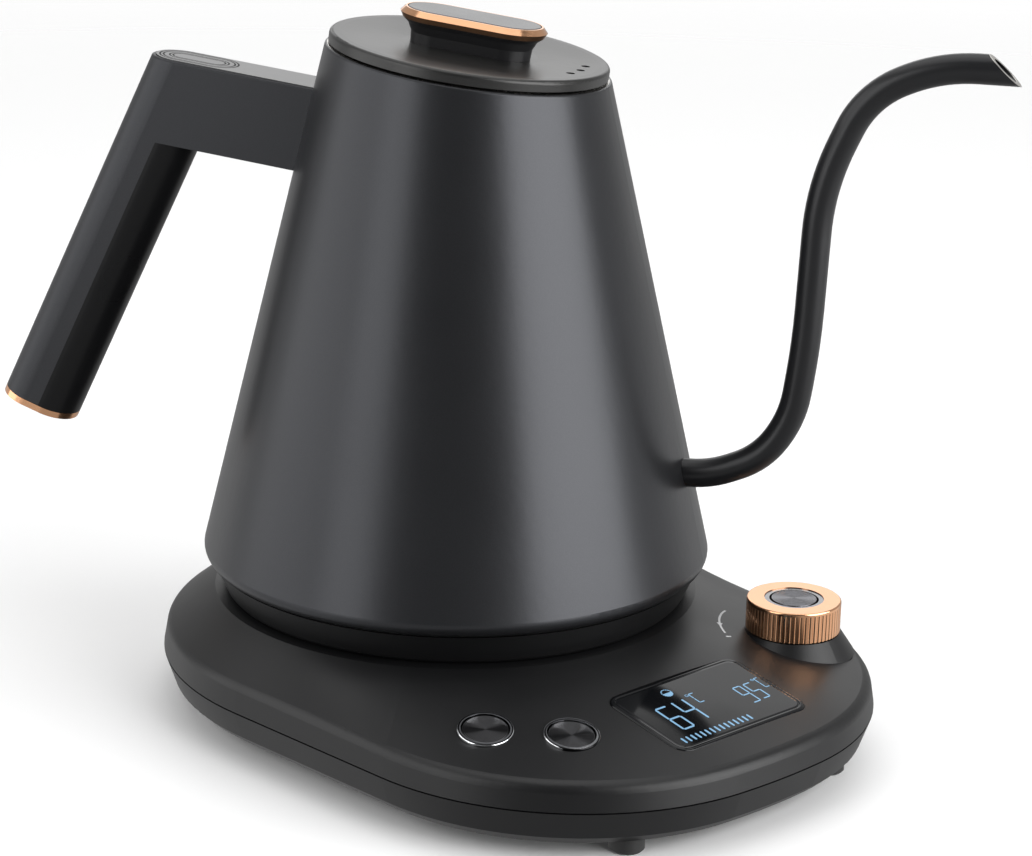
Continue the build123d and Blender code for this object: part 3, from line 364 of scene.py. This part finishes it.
# ---- Handle
# Shell of the arm and grip in charcoal, a smooth black liner on the hand's side, a copper
# cap at the lower end and a satin grey inlay with four engraved ovals on the arm's top.
handle_paint = coated("charcoal_coat_handle", shade(CHARCOAL, 0.97), 0.42, 0.8, 0.16, 0.016 * MM)
handle_paint.dress("handle_shell")
liner = moulded("liner_gloss", (0.0055, 0.0055, 0.006), 0.3, 700.0, 0.002 * MM,
                Specular_IOR_Level=0.2)
liner.dress("grip_liner")
end_copper = polished("copper_end_cap", COPPER, 0.14, (3000, 400, 400))
end_copper.dress("grip_end_cap")
INLAY_GREY = (0.085, 0.085, 0.086)
LINE_GREY = (0.006, 0.006, 0.006)
OVAL_FROM_END = 12.6 * MM      # middle of the ovals from the inlay's outer end
OVAL_STRAIGHT = 4.8 * MM       # half the straight part that all the ovals share
OVAL_LINES = (6.5, 5.5, 3.8, 2.8)
LINE_WIDTH = 0.5 * MM
LINE_DEPTH = 0.05 * MM
inlay_low, inlay_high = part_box("handle_inlay")
TOP_SLANT = math.radians(7.14)
arm_inlay = coated("inlay_satin", INLAY_GREY, 0.3, 0.8, 0.12, 0.01 * MM)
oval_middle = Vector((inlay_low.x + OVAL_FROM_END * math.cos(TOP_SLANT), AXIS.y, 0))
x, y, z = arm_inlay.axes()
along = abs((x - oval_middle.x) / math.cos(TOP_SLANT))
beyond = arm_inlay.node("Math", {"operation": "MAXIMUM"}, {0: along - OVAL_STRAIGHT, 1: 0.0})
across = y - oval_middle.y
from_middle = (beyond * beyond + across * across) ** 0.5
line = 0.0
for radius in OVAL_LINES:
    line = (abs(from_middle - radius * MM) < LINE_WIDTH / 2) + line
arm_inlay.set("Base Color", arm_inlay.mix(line, arm_inlay.joined("Base Color"), LINE_GREY))
arm_inlay.set("Normal", arm_inlay.relief(1 - line, LINE_DEPTH, arm_inlay.joined("Normal")))
arm_inlay.set("Roughness", line * 0.5 + 0.3)
arm_inlay.set("Metallic", 0.8 - line * 0.8)
arm_inlay.dress("handle_inlay")

# ---- Base covers
# Two black mouldings with a soft-touch coat, meeting at a parting line under the crest, on
# four rubber feet; a gland for the lead and four screws below.
SOFT_BLACK = (0.0052, 0.0053, 0.0058)
cover_coat = moulded("soft_touch_cover", SOFT_BLACK, 0.38, 2600.0, 0.008 * MM,
                     Specular_IOR_Level=0.38)
INK = (0.55, 0.56, 0.57)
ARC_R = 20.5 * MM
ARC_WIDTH = 0.6 * MM
ARC_START = math.radians(-160.0)
ARC_END = math.radians(-113.0)
HEAD_START = math.radians(-131.0)
HEAD_LENGTH = math.radians(7.0)
HEAD_WIDTH = 1.7 * MM
TICK_ANGLE = math.radians(-107.0)
TICK_LENGTH = 1.6 * MM
base_turn = math.radians(-33.6)
knob_joint = next(j for j in frame["joints"] if j["name"] == "knob_turn")
knob_place = Vector(knob_joint["pos_m"])
x, y, z = cover_coat.axes()
east, north = x - knob_place.x, y - knob_place.y
ahead = east * math.cos(base_turn) + north * math.sin(base_turn)
aside = north * math.cos(base_turn) - east * math.sin(base_turn)
angle = cover_coat.node("Math", {"operation": "ARCTAN2"}, {0: aside, 1: ahead})
from_knob = (east * east + north * north) ** 0.5
off_arc = abs(from_knob - ARC_R)
arc = (off_arc < ARC_WIDTH / 2) * (angle > ARC_START) * (angle < ARC_END)
head_share = (angle - HEAD_START) / HEAD_LENGTH
head_half = (1 - head_share) * (HEAD_WIDTH / 2)
head = (off_arc < head_half) * (head_share > 0.0) * (head_share < 1.0)
tick_side = abs(angle - TICK_ANGLE) * ARC_R
tick = (tick_side < ARC_WIDTH / 2) * (off_arc < TICK_LENGTH / 2)
upper_face = z > float(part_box("display_window")[0].z)
arrow = arc.math("MAXIMUM", arc, head)
ink = arc.math("MAXIMUM", arrow, tick) * upper_face
cover_coat.set("Base Color", cover_coat.mix(ink, cover_coat.joined("Base Color"), INK))
cover_coat.dress("base_top_cover")
housing_coat = moulded("soft_touch_housing", SOFT_BLACK, 0.40, 2600.0, 0.008 * MM,
                       Specular_IOR_Level=0.38)
housing_coat.dress("base_housing")
rubber = moulded("foot_rubber", (0.012, 0.012, 0.012), 0.62, 1500.0, 0.02 * MM)
rubber.dress("rubber_feet", "cable_gland")
zinc = brushed("zinc_screws", (0.55, 0.56, 0.58), 0.32, (1200, 1200, 200), 0.003 * MM)
zinc.dress("housing_screws")

# ---- Base electronics
# Green boards with relay, capacitor, buzzer and the encoder under the knob, all out of
# sight inside the closed base.
board = moulded("board_lacquer", (0.012, 0.09, 0.035), 0.35, 1200.0, 0.004 * MM)
board.dress("control_board", "power_board")
parts_plastic = moulded("component_plastic", (0.03, 0.03, 0.03), 0.45, 1800.0, 0.008 * MM)
parts_plastic.dress("power_relay", "filter_capacitor", "buzzer", "knob_encoder", "display_module")

# ---- Control knob
# A fluted copper ring and its steel collar turn together on a tube that goes down to the
# encoder; the spun metal disc in the middle presses.
knob_axis = Vector((0, 0, 1))
knob_low, knob_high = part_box("knob_button")
knob_centre = (knob_low + knob_high) / 2
knob_copper = polished("copper_knob", COPPER, 0.13, (300, 300, 40))
knob_copper.dress("control_knob")
collar = spun("collar_steel", (0.30, 0.30, 0.31), 0.25, knob_centre, knob_axis, 0.3 * MM, 0.1)
collar.dress("knob_collar")
disc_metal = spun("spun_knob_disc", (0.15, 0.15, 0.165), 0.16, knob_centre, knob_axis, 0.42 * MM, 0.38)
disc_metal.dress("knob_button")

# ---- Push buttons
# Chrome bezels pressed into the cover, with a thin ring of painted shade on the chrome between their
# bright edges where the flat top looks dark, and in each a black cap spun with concentric grooves, which
# slides down on its stem.
BEZEL_INNER_EDGE = 6.75 * MM
BEZEL_OUTER_EDGE = 7.12 * MM
# near-black colour for the painted shade on the bezels' chrome
BEZEL_PAINTED_SHADE = (0.02, 0.02, 0.021)
CHROME = (0.74, 0.75, 0.77)
chrome = polished("chrome_bezel", CHROME, 0.1, (500, 500, 500))
# Painted shade: a thin ring of the chrome between each bezel's bright edges is coloured near black,
# standing in for the dark look of its flat top
painted_shade_band = 0.0
for joint in frame["joints"]:
    if joint["name"].endswith("button_press"):
        low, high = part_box("button_" + joint["name"].split("_")[0])
        radius = chrome.radius_about((low + high) / 2, -Vector(joint["axis"]))
        painted_shade_band = (radius > BEZEL_INNER_EDGE) * (radius < BEZEL_OUTER_EDGE) + painted_shade_band
chrome.set("Base Color", chrome.mix(painted_shade_band, chrome.joined("Base Color"), BEZEL_PAINTED_SHADE))
chrome.dress("button_bezels")
for joint in frame["joints"]:
    if joint["name"].endswith("button_press"):
        node = "button_" + joint["name"].split("_")[0]
        low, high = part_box(node)
        centre = (low + high) / 2
        axis = -Vector(joint["axis"])
        cap_metal = spun("spun_" + node, (0.07, 0.07, 0.073), 0.15, centre, axis, 0.5 * MM, 0.38)
        cap_metal.dress(node)

# ---- Display window
# A rounded rectangle of black glass, glued into the cover, with a rounded edge and a fine
# groove all round; it stands in for the plain window block of the model.
EDGE_WIDTH = 1.0 * MM
EDGE_DROP = 0.55 * MM
WINDOW_CORNER = 4.5 * MM
CORNER_STEPS = 14
EDGE_STEPS = 8
GROOVE = [(1.25, 0.0), (1.4, -0.06), (1.6, -0.06), (1.75, 0.0), (2.2, 0.0)]   # inset, height in mm


def flat_face(node, toward):
    """Middle and unit normal of a CAD node's flat face that looks most nearly along toward:
    the area-weighted mean of the triangles within two degrees of the largest such one."""
    mesh = frame["nodes"][node].data
    count = len(mesh.polygons)
    normals, centres, areas = np.empty(count * 3), np.empty(count * 3), np.empty(count)
    mesh.polygons.foreach_get("normal", normals)
    mesh.polygons.foreach_get("center", centres)
    mesh.polygons.foreach_get("area", areas)
    normals, centres = normals.reshape(-1, 3), centres.reshape(-1, 3)
    looks = normals @ np.array(toward)
    chief = normals[np.argmax(areas * (looks > 0.7))]
    chosen = (normals @ chief > math.cos(math.radians(2.0)))
    weights = areas * chosen
    middle = (centres * weights[:, None]).sum(0) / weights.sum()
    return Vector(middle), Vector(chief).normalized()


def rounded_rectangle(length, width, corner):
    """Outline as quarter circles about the four corners of the inner rectangle, each row one
    point (along the length, along the width), going round anticlockwise."""
    turn = np.linspace(0, math.pi / 2, CORNER_STEPS)
    signs = np.array([(1, 1), (-1, 1), (-1, -1), (1, -1)])
    middles = signs * np.array([length / 2 - corner, width / 2 - corner])
    angles = turn[None, :] + (np.arange(4) * math.pi / 2)[:, None]
    arcs = np.stack([np.cos(angles), np.sin(angles)], -1) * corner
    return (middles[:, None, :] + arcs).reshape(-1, 2)


def add_piece(name, points, faces):
    """Object at the origin with a mesh of its own."""
    mesh = bpy.data.meshes.new(name)
    mesh.from_pydata(points.tolist(), [], faces)
    piece = bpy.data.objects.new(name, mesh)
    bpy.context.scene.collection.objects.link(piece)
    return piece


def closed_rings(name, rings):
    """Mesh through rings of equal length, joined by quads and closed by a fan at each end."""
    ring_count, size = rings.shape[:2]
    points = np.concatenate([rings.reshape(-1, 3), rings[[0, -1]].mean(1)])
    here = np.arange(size)
    after = (here + 1) % size
    steps = (np.arange(ring_count - 1) * size)[:, None]
    quads = np.stack([here + steps, after + steps, after + steps + size, here + steps + size], -1)
    last = (ring_count - 1) * size
    foot, head = ring_count * size, ring_count * size + 1
    fans = [np.stack([after, here, np.full(size, foot)], 1),
            np.stack([here + last, after + last, np.full(size, head)], 1)]
    return add_piece(name, points, quads.reshape(-1, 4).tolist() + np.concatenate(fans).tolist())


window_middle, window_up = flat_face("display_window", (0, 0, 1))
window_out = Vector((window_up.x, window_up.y, 0)).normalized()
window_across = window_up.cross(window_out).normalized()
window_down = window_across.cross(window_up)
window_axes = np.array([window_across, window_down, window_up])
flat = (points_of("display_window") - np.array(window_middle)) @ window_axes.T
WINDOW_LENGTH, WINDOW_WIDTH, WINDOW_THICK = np.ptp(flat, axis=0)
turns = np.linspace(0.0, math.pi / 2, EDGE_STEPS)
rounded = np.column_stack([EDGE_WIDTH * (1 - np.cos(turns)), EDGE_DROP * (np.sin(turns) - 1)])
side = [(0.0, -WINDOW_THICK), (0.0, -EDGE_DROP - 0.1 * MM)]
profile = np.concatenate([side, rounded, np.array(GROOVE) * MM])
rings = []
for inset, height in profile:
    outline = rounded_rectangle(WINDOW_LENGTH - 2 * inset, WINDOW_WIDTH - 2 * inset,
                                WINDOW_CORNER - inset)
    ring_points = np.column_stack([outline, np.full(len(outline), height)])
    rings.append(ring_points @ window_axes + np.array(window_middle))
window = closed_rings("display_glass", np.array(rings)[:, ::-1])
window_glass = moulded("window_glass", (0.0035, 0.0038, 0.0045), 0.06, 400.0, 0.0004 * MM,
                       Specular_IOR_Level=0.3)
window.data.materials.append(window_glass.material)
window.data.polygons.foreach_set("use_smooth", np.ones(len(window.data.polygons), bool))
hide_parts("display_window")
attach(window, "base")

# ---- Display segments
# Blue-white light bars on the glass: two pairs of seven-bar digits with their degree signs,
# a heating sign and a row of fifteen level bars. Each stroke is a thin hexagonal prism.
SEGMENT_BLUE = (0.27, 0.52, 0.78)
STROKE_THICK = 0.05 * MM
STROKE_LIFT = 0.01 * MM        # over the glass
DIGIT_STROKES = {
    "top": (0, 0, 1, 0), "middle": (0, 0.5, 1, 0.5), "bottom": (0, 1, 1, 1),
    "upper_left": (0, 0, 0, 0.5), "upper_right": (1, 0, 1, 0.5),
    "lower_left": (0, 0.5, 0, 1), "lower_right": (1, 0.5, 1, 1)}
SIX = ("top", "upper_left", "middle", "lower_left", "lower_right", "bottom")
FOUR = ("upper_left", "upper_right", "middle", "lower_right")
NINE = ("top", "upper_left", "upper_right", "middle", "lower_right", "bottom")
FIVE = ("top", "upper_left", "middle", "lower_right", "bottom")
LETTER_C = ("top", "upper_left", "lower_left", "bottom")
# strokes shown, then left, right, back and front in parts of the window, and stroke width
SIGNS = [(SIX, 0.178, 0.258, 0.36, 0.72, 0.6), (FOUR, 0.310, 0.390, 0.34, 0.69, 0.6),
         (LETTER_C, 0.462, 0.497, 0.31, 0.46, 0.3), (NINE, 0.735, 0.788, 0.43, 0.70, 0.4),
         (FIVE, 0.818, 0.870, 0.43, 0.69, 0.4), (LETTER_C, 0.921, 0.950, 0.40, 0.56, 0.28)]
DEGREE_SPOTS = [(0.444, 0.32, 0.5), (0.905, 0.41, 0.42)]
BAR_COUNT = 15
BAR_FROM, BAR_TO, BAR_ROW, BAR_HALF = 0.095, 0.600, 0.855, 0.045
BAR_WIDTH = 0.6 * MM
DEGREE_WIDTH = 0.22 * MM
SIGN_SPOT = (0.365, 0.20)
SIGN_R = 1.6 * MM
SIGN_WIDTH = 0.3 * MM
SIGN_FILL_WIDTH = 0.26 * MM


def on_window(parts):
    """Window parts (left to right, back to front) as lengths from its middle, in metres."""
    return (np.asarray(parts, float) - 0.5) * np.array([WINDOW_LENGTH, WINDOW_WIDTH])


def circle_of_strokes(spot, radius, count, width):
    """Straight strokes round a circle: chords between equal angles, starting along the window."""
    corners = np.linspace(0, 2 * math.pi, count + 1)
    rim = on_window(spot) + np.column_stack([np.cos(corners), np.sin(corners)]) * radius
    return [(*rim[i], *rim[i + 1], width) for i in range(count)]


strokes = []
for shown, left, right_side, rear, front, width in SIGNS:
    for stroke in shown:
        a0, b0, a1, b1 = DIGIT_STROKES[stroke]
        start = on_window((left + a0 * (right_side - left), rear + b0 * (front - rear)))
        end = on_window((left + a1 * (right_side - left), rear + b1 * (front - rear)))
        strokes.append((*start, *end, width * MM))
for place in np.linspace(BAR_FROM, BAR_TO, BAR_COUNT):
    start, end = on_window([(place, BAR_ROW - BAR_HALF), (place, BAR_ROW + BAR_HALF)])
    strokes.append((*start, *end, BAR_WIDTH))
for spot_a, spot_b, radius in DEGREE_SPOTS:
    strokes += circle_of_strokes((spot_a, spot_b), radius * MM, 8, DEGREE_WIDTH)
strokes += circle_of_strokes(SIGN_SPOT, SIGN_R, 16, SIGN_WIDTH)
middle_a, middle_b = on_window(SIGN_SPOT)
for row in np.linspace(0.1, 0.8, 6):
    half = SIGN_R * math.sqrt(1 - row * row)
    level = middle_b + row * SIGN_R
    strokes.append((middle_a - half, level, middle_a + half, level, SIGN_FILL_WIDTH))
strokes = np.array(strokes)


def stroke_prisms(name, strokes):
    """Hexagonal prisms: each stroke's ends come to a point, half a width before its ends, and
    its six corners are set off from its line by half its width."""
    start, end, width = strokes[:, 0:2], strokes[:, 2:4], strokes[:, 4:5]
    run = end - start
    run = run / np.linalg.norm(run, axis=1, keepdims=True)
    side = np.column_stack([-run[:, 1], run[:, 0]]) * width / 2
    start, end = start + run * width * 0.1, end - run * width * 0.1
    near, far = start + run * width / 2, end - run * width / 2
    corners = np.stack([start, near - side, far - side, end, far + side, near + side], 1)
    count = len(strokes)
    heights = np.array([STROKE_LIFT, STROKE_LIFT + STROKE_THICK])
    flat = np.concatenate([np.repeat(corners[:, None], 2, 1),
                           np.broadcast_to(heights[None, :, None, None], (count, 2, 6, 1))], -1)
    points = flat.reshape(-1, 3) @ window_axes + np.array(window_middle)
    first = (np.arange(count) * 12)[:, None]
    ring = np.arange(6)
    walls = np.stack([ring, ring + 6, (ring + 1) % 6 + 6, (ring + 1) % 6], -1)[None] + first[..., None]
    caps = [first + ring, first + 6 + ring[::-1]]
    return add_piece(name, points, walls.reshape(-1, 4).tolist() + np.concatenate(caps).tolist())


segments = stroke_prisms("display_segments", strokes)
segment_light = Finish("segment_light", (0.02, 0.05, 0.08), 0.2, Emission_Strength=0.8)
flicker = segment_light.noise(900.0, 1.0)
segment_light.set("Emission Color", segment_light.mix(
    flicker, shade(SEGMENT_BLUE, 0.85), shade(SEGMENT_BLUE, 1.15)))
segments.data.materials.append(segment_light.material)
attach(segments, "base")

# ---- Studio
# The camera, five softboxes with a dark gap in front of the kettle between them, a pale
# floor that fades into a white backdrop, and the sky that polished parts reflect.
CAMERA_AZIMUTH = math.radians(13.747)
CAMERA_ELEVATION = math.radians(16.965)
CAMERA_ROLL = math.radians(1.329)
CAMERA_DISTANCE = 770.83 * MM
CAMERA_AIM_RIGHT = 16.288 * MM
CAMERA_AIM_Z = 77.84 * MM
CAMERA_LENS = 94.873
CAMERA_SENSOR = 36.0


def direction(azimuth, elevation):
    """Unit vector back towards an azimuth from -Y, in radians, and an elevation."""
    level = math.cos(elevation)
    return Vector((math.sin(azimuth) * level, -math.cos(azimuth) * level, math.sin(elevation)))


back = direction(CAMERA_AZIMUTH, CAMERA_ELEVATION)
level_right = Vector((math.cos(CAMERA_AZIMUTH), math.sin(CAMERA_AZIMUTH), 0))
upright = back.cross(level_right)
right = math.cos(CAMERA_ROLL) * level_right + math.sin(CAMERA_ROLL) * upright
up = math.cos(CAMERA_ROLL) * upright - math.sin(CAMERA_ROLL) * level_right
target = AXIS + right * CAMERA_AIM_RIGHT + Vector((0, 0, CAMERA_AIM_Z))
camera_data = bpy.data.cameras.new("camera")
camera_data.lens = CAMERA_LENS
camera_data.sensor_width = CAMERA_SENSOR
camera_data.clip_start = 0.01
camera = bpy.data.objects.new("camera", camera_data)
bpy.context.scene.collection.objects.link(camera)
pose = Matrix((right, up, back)).transposed().to_4x4()
pose.translation = target + back * CAMERA_DISTANCE
camera.matrix_world = pose
bpy.context.scene.camera = camera

LIGHT_AIM = AXIS + Vector((0, 0, 0.1))


def softbox(name, azimuth, elevation, distance, width, height, power):
    """Rectangular lamp aimed at the kettle from an azimuth measured from the camera's."""
    lamp = bpy.data.lights.new(name, "AREA")
    lamp.shape = "RECTANGLE"
    lamp.size = width
    lamp.size_y = height
    lamp.energy = power
    stand = bpy.data.objects.new(name, lamp)
    bpy.context.scene.collection.objects.link(stand)
    out = direction(CAMERA_AZIMUTH + math.radians(azimuth), math.radians(elevation))
    stand.location = LIGHT_AIM + out * distance
    stand.rotation_mode = "QUATERNION"
    stand.rotation_quaternion = out.to_track_quat("Z", "Y")
    stand.visible_camera = False


softbox("right_box", 60.0, 20.0, 1.5, 1.5, 1.5, 34.0)
softbox("left_front_box", -48.0, 20.0, 1.5, 0.7, 1.5, 8.0)
softbox("left_box", -86.0, 20.0, 1.5, 1.2, 1.5, 9.0)
softbox("back_box", 180.0, 22.0, 2.0, 1.5, 1.0, 4.5)
softbox("top_box", 180.0, 82.0, 2.2, 2.6, 2.6, 26.0)

FLOOR_SIZE = 9.0
FLOOR_GREY = (0.93, 0.93, 0.93)
FADE_FROM, FADE_TO = 0.6, 1.5  # the floor gives way to the white backdrop, in metres
rows = np.linspace(-FLOOR_SIZE / 2, FLOOR_SIZE / 2, 25)
grid = np.stack(np.meshgrid(rows, rows, [0.0], indexing="ij"), -1).reshape(-1, 3)
count = len(rows)
corner = (np.arange(count - 1)[:, None] * count + np.arange(count - 1)).ravel()
quads = np.stack([corner, corner + count, corner + count + 1, corner + 1], 1)
floor_object = add_piece("floor", grid, quads.tolist())
floor_finish = Finish("pale_floor", FLOOR_GREY, 0.7)
floor_finish.set("Roughness", floor_finish.between(floor_finish.noise(8.0), 0.3, 0.7, 0.66, 0.74))
reach = floor_finish.node("VectorMath", {"operation": "LENGTH"}, {0: floor_finish.place}, "Value")
floor_finish.set("Alpha", floor_finish.between(reach, FADE_FROM, FADE_TO, 1.0, 0.0))
floor_object.data.materials.append(floor_finish.material)
floor_object.visible_glossy = False

WORLD_SEEN = 1.0
WORLD_BACK = 0.5
WORLD_FRONT = 0.06
LOWER_FRONT = 0.45             # brightness of the floor as polished parts reflect it
LOWER_SIDE = 0.9
world = bpy.data.worlds.new("studio")
world.use_nodes = True
bpy.context.scene.world = world
nodes = world.node_tree.nodes
links = world.node_tree.links
background = nodes["Background"]
sky_place = nodes.new("ShaderNodeTexCoord")


def part_along(axis, low, high, to_low, to_high, both_ways=False):
    """Number that goes smoothly from one value to another with the direction's part along
    an axis, or with the size of that part when both ways count alike."""
    dot = nodes.new("ShaderNodeVectorMath")
    dot.operation = "DOT_PRODUCT"
    dot.inputs[1].default_value = axis
    links.new(sky_place.outputs["Generated"], dot.inputs[0])
    size = nodes.new("ShaderNodeMath")
    size.operation = "ABSOLUTE" if both_ways else "ADD"
    size.inputs[1].default_value = 0.0
    links.new(dot.outputs["Value"], size.inputs[0])
    spread = nodes.new("ShaderNodeMapRange")
    spread.interpolation_type = "SMOOTHSTEP"
    for index, value in enumerate((low, high, to_low, to_high)):
        spread.inputs[index + 1].default_value = value
    links.new(size.outputs[0], spread.inputs[0])
    return spread.outputs[0]


def blend_number(factor, first, second):
    """Number that goes from the first to the second as the factor goes from 0 to 1."""
    mix = nodes.new("ShaderNodeMix")
    for socket, value in ((mix.inputs[0], factor), (mix.inputs[2], first), (mix.inputs[3], second)):
        if isinstance(value, float):
            socket.default_value = value
        else:
            links.new(value, socket)
    return mix.outputs[0]


upper = part_along(direction(CAMERA_AZIMUTH, 0.0), -0.5, 0.6, WORLD_BACK, WORLD_FRONT)
lower = part_along(level_right, 0.45, 0.85, LOWER_FRONT, LOWER_SIDE, both_ways=True)
below = part_along(Vector((0, 0, 1)), -0.12, 0.02, 1.0, 0.0)
seen = nodes.new("ShaderNodeLightPath").outputs["Is Camera Ray"]
brightness = blend_number(seen, blend_number(below, upper, lower), WORLD_SEEN)
links.new(brightness, background.inputs["Strength"])
background.inputs["Color"].default_value = (1, 1, 1, 1)
bpy.context.scene.view_settings.view_transform = "Standard"
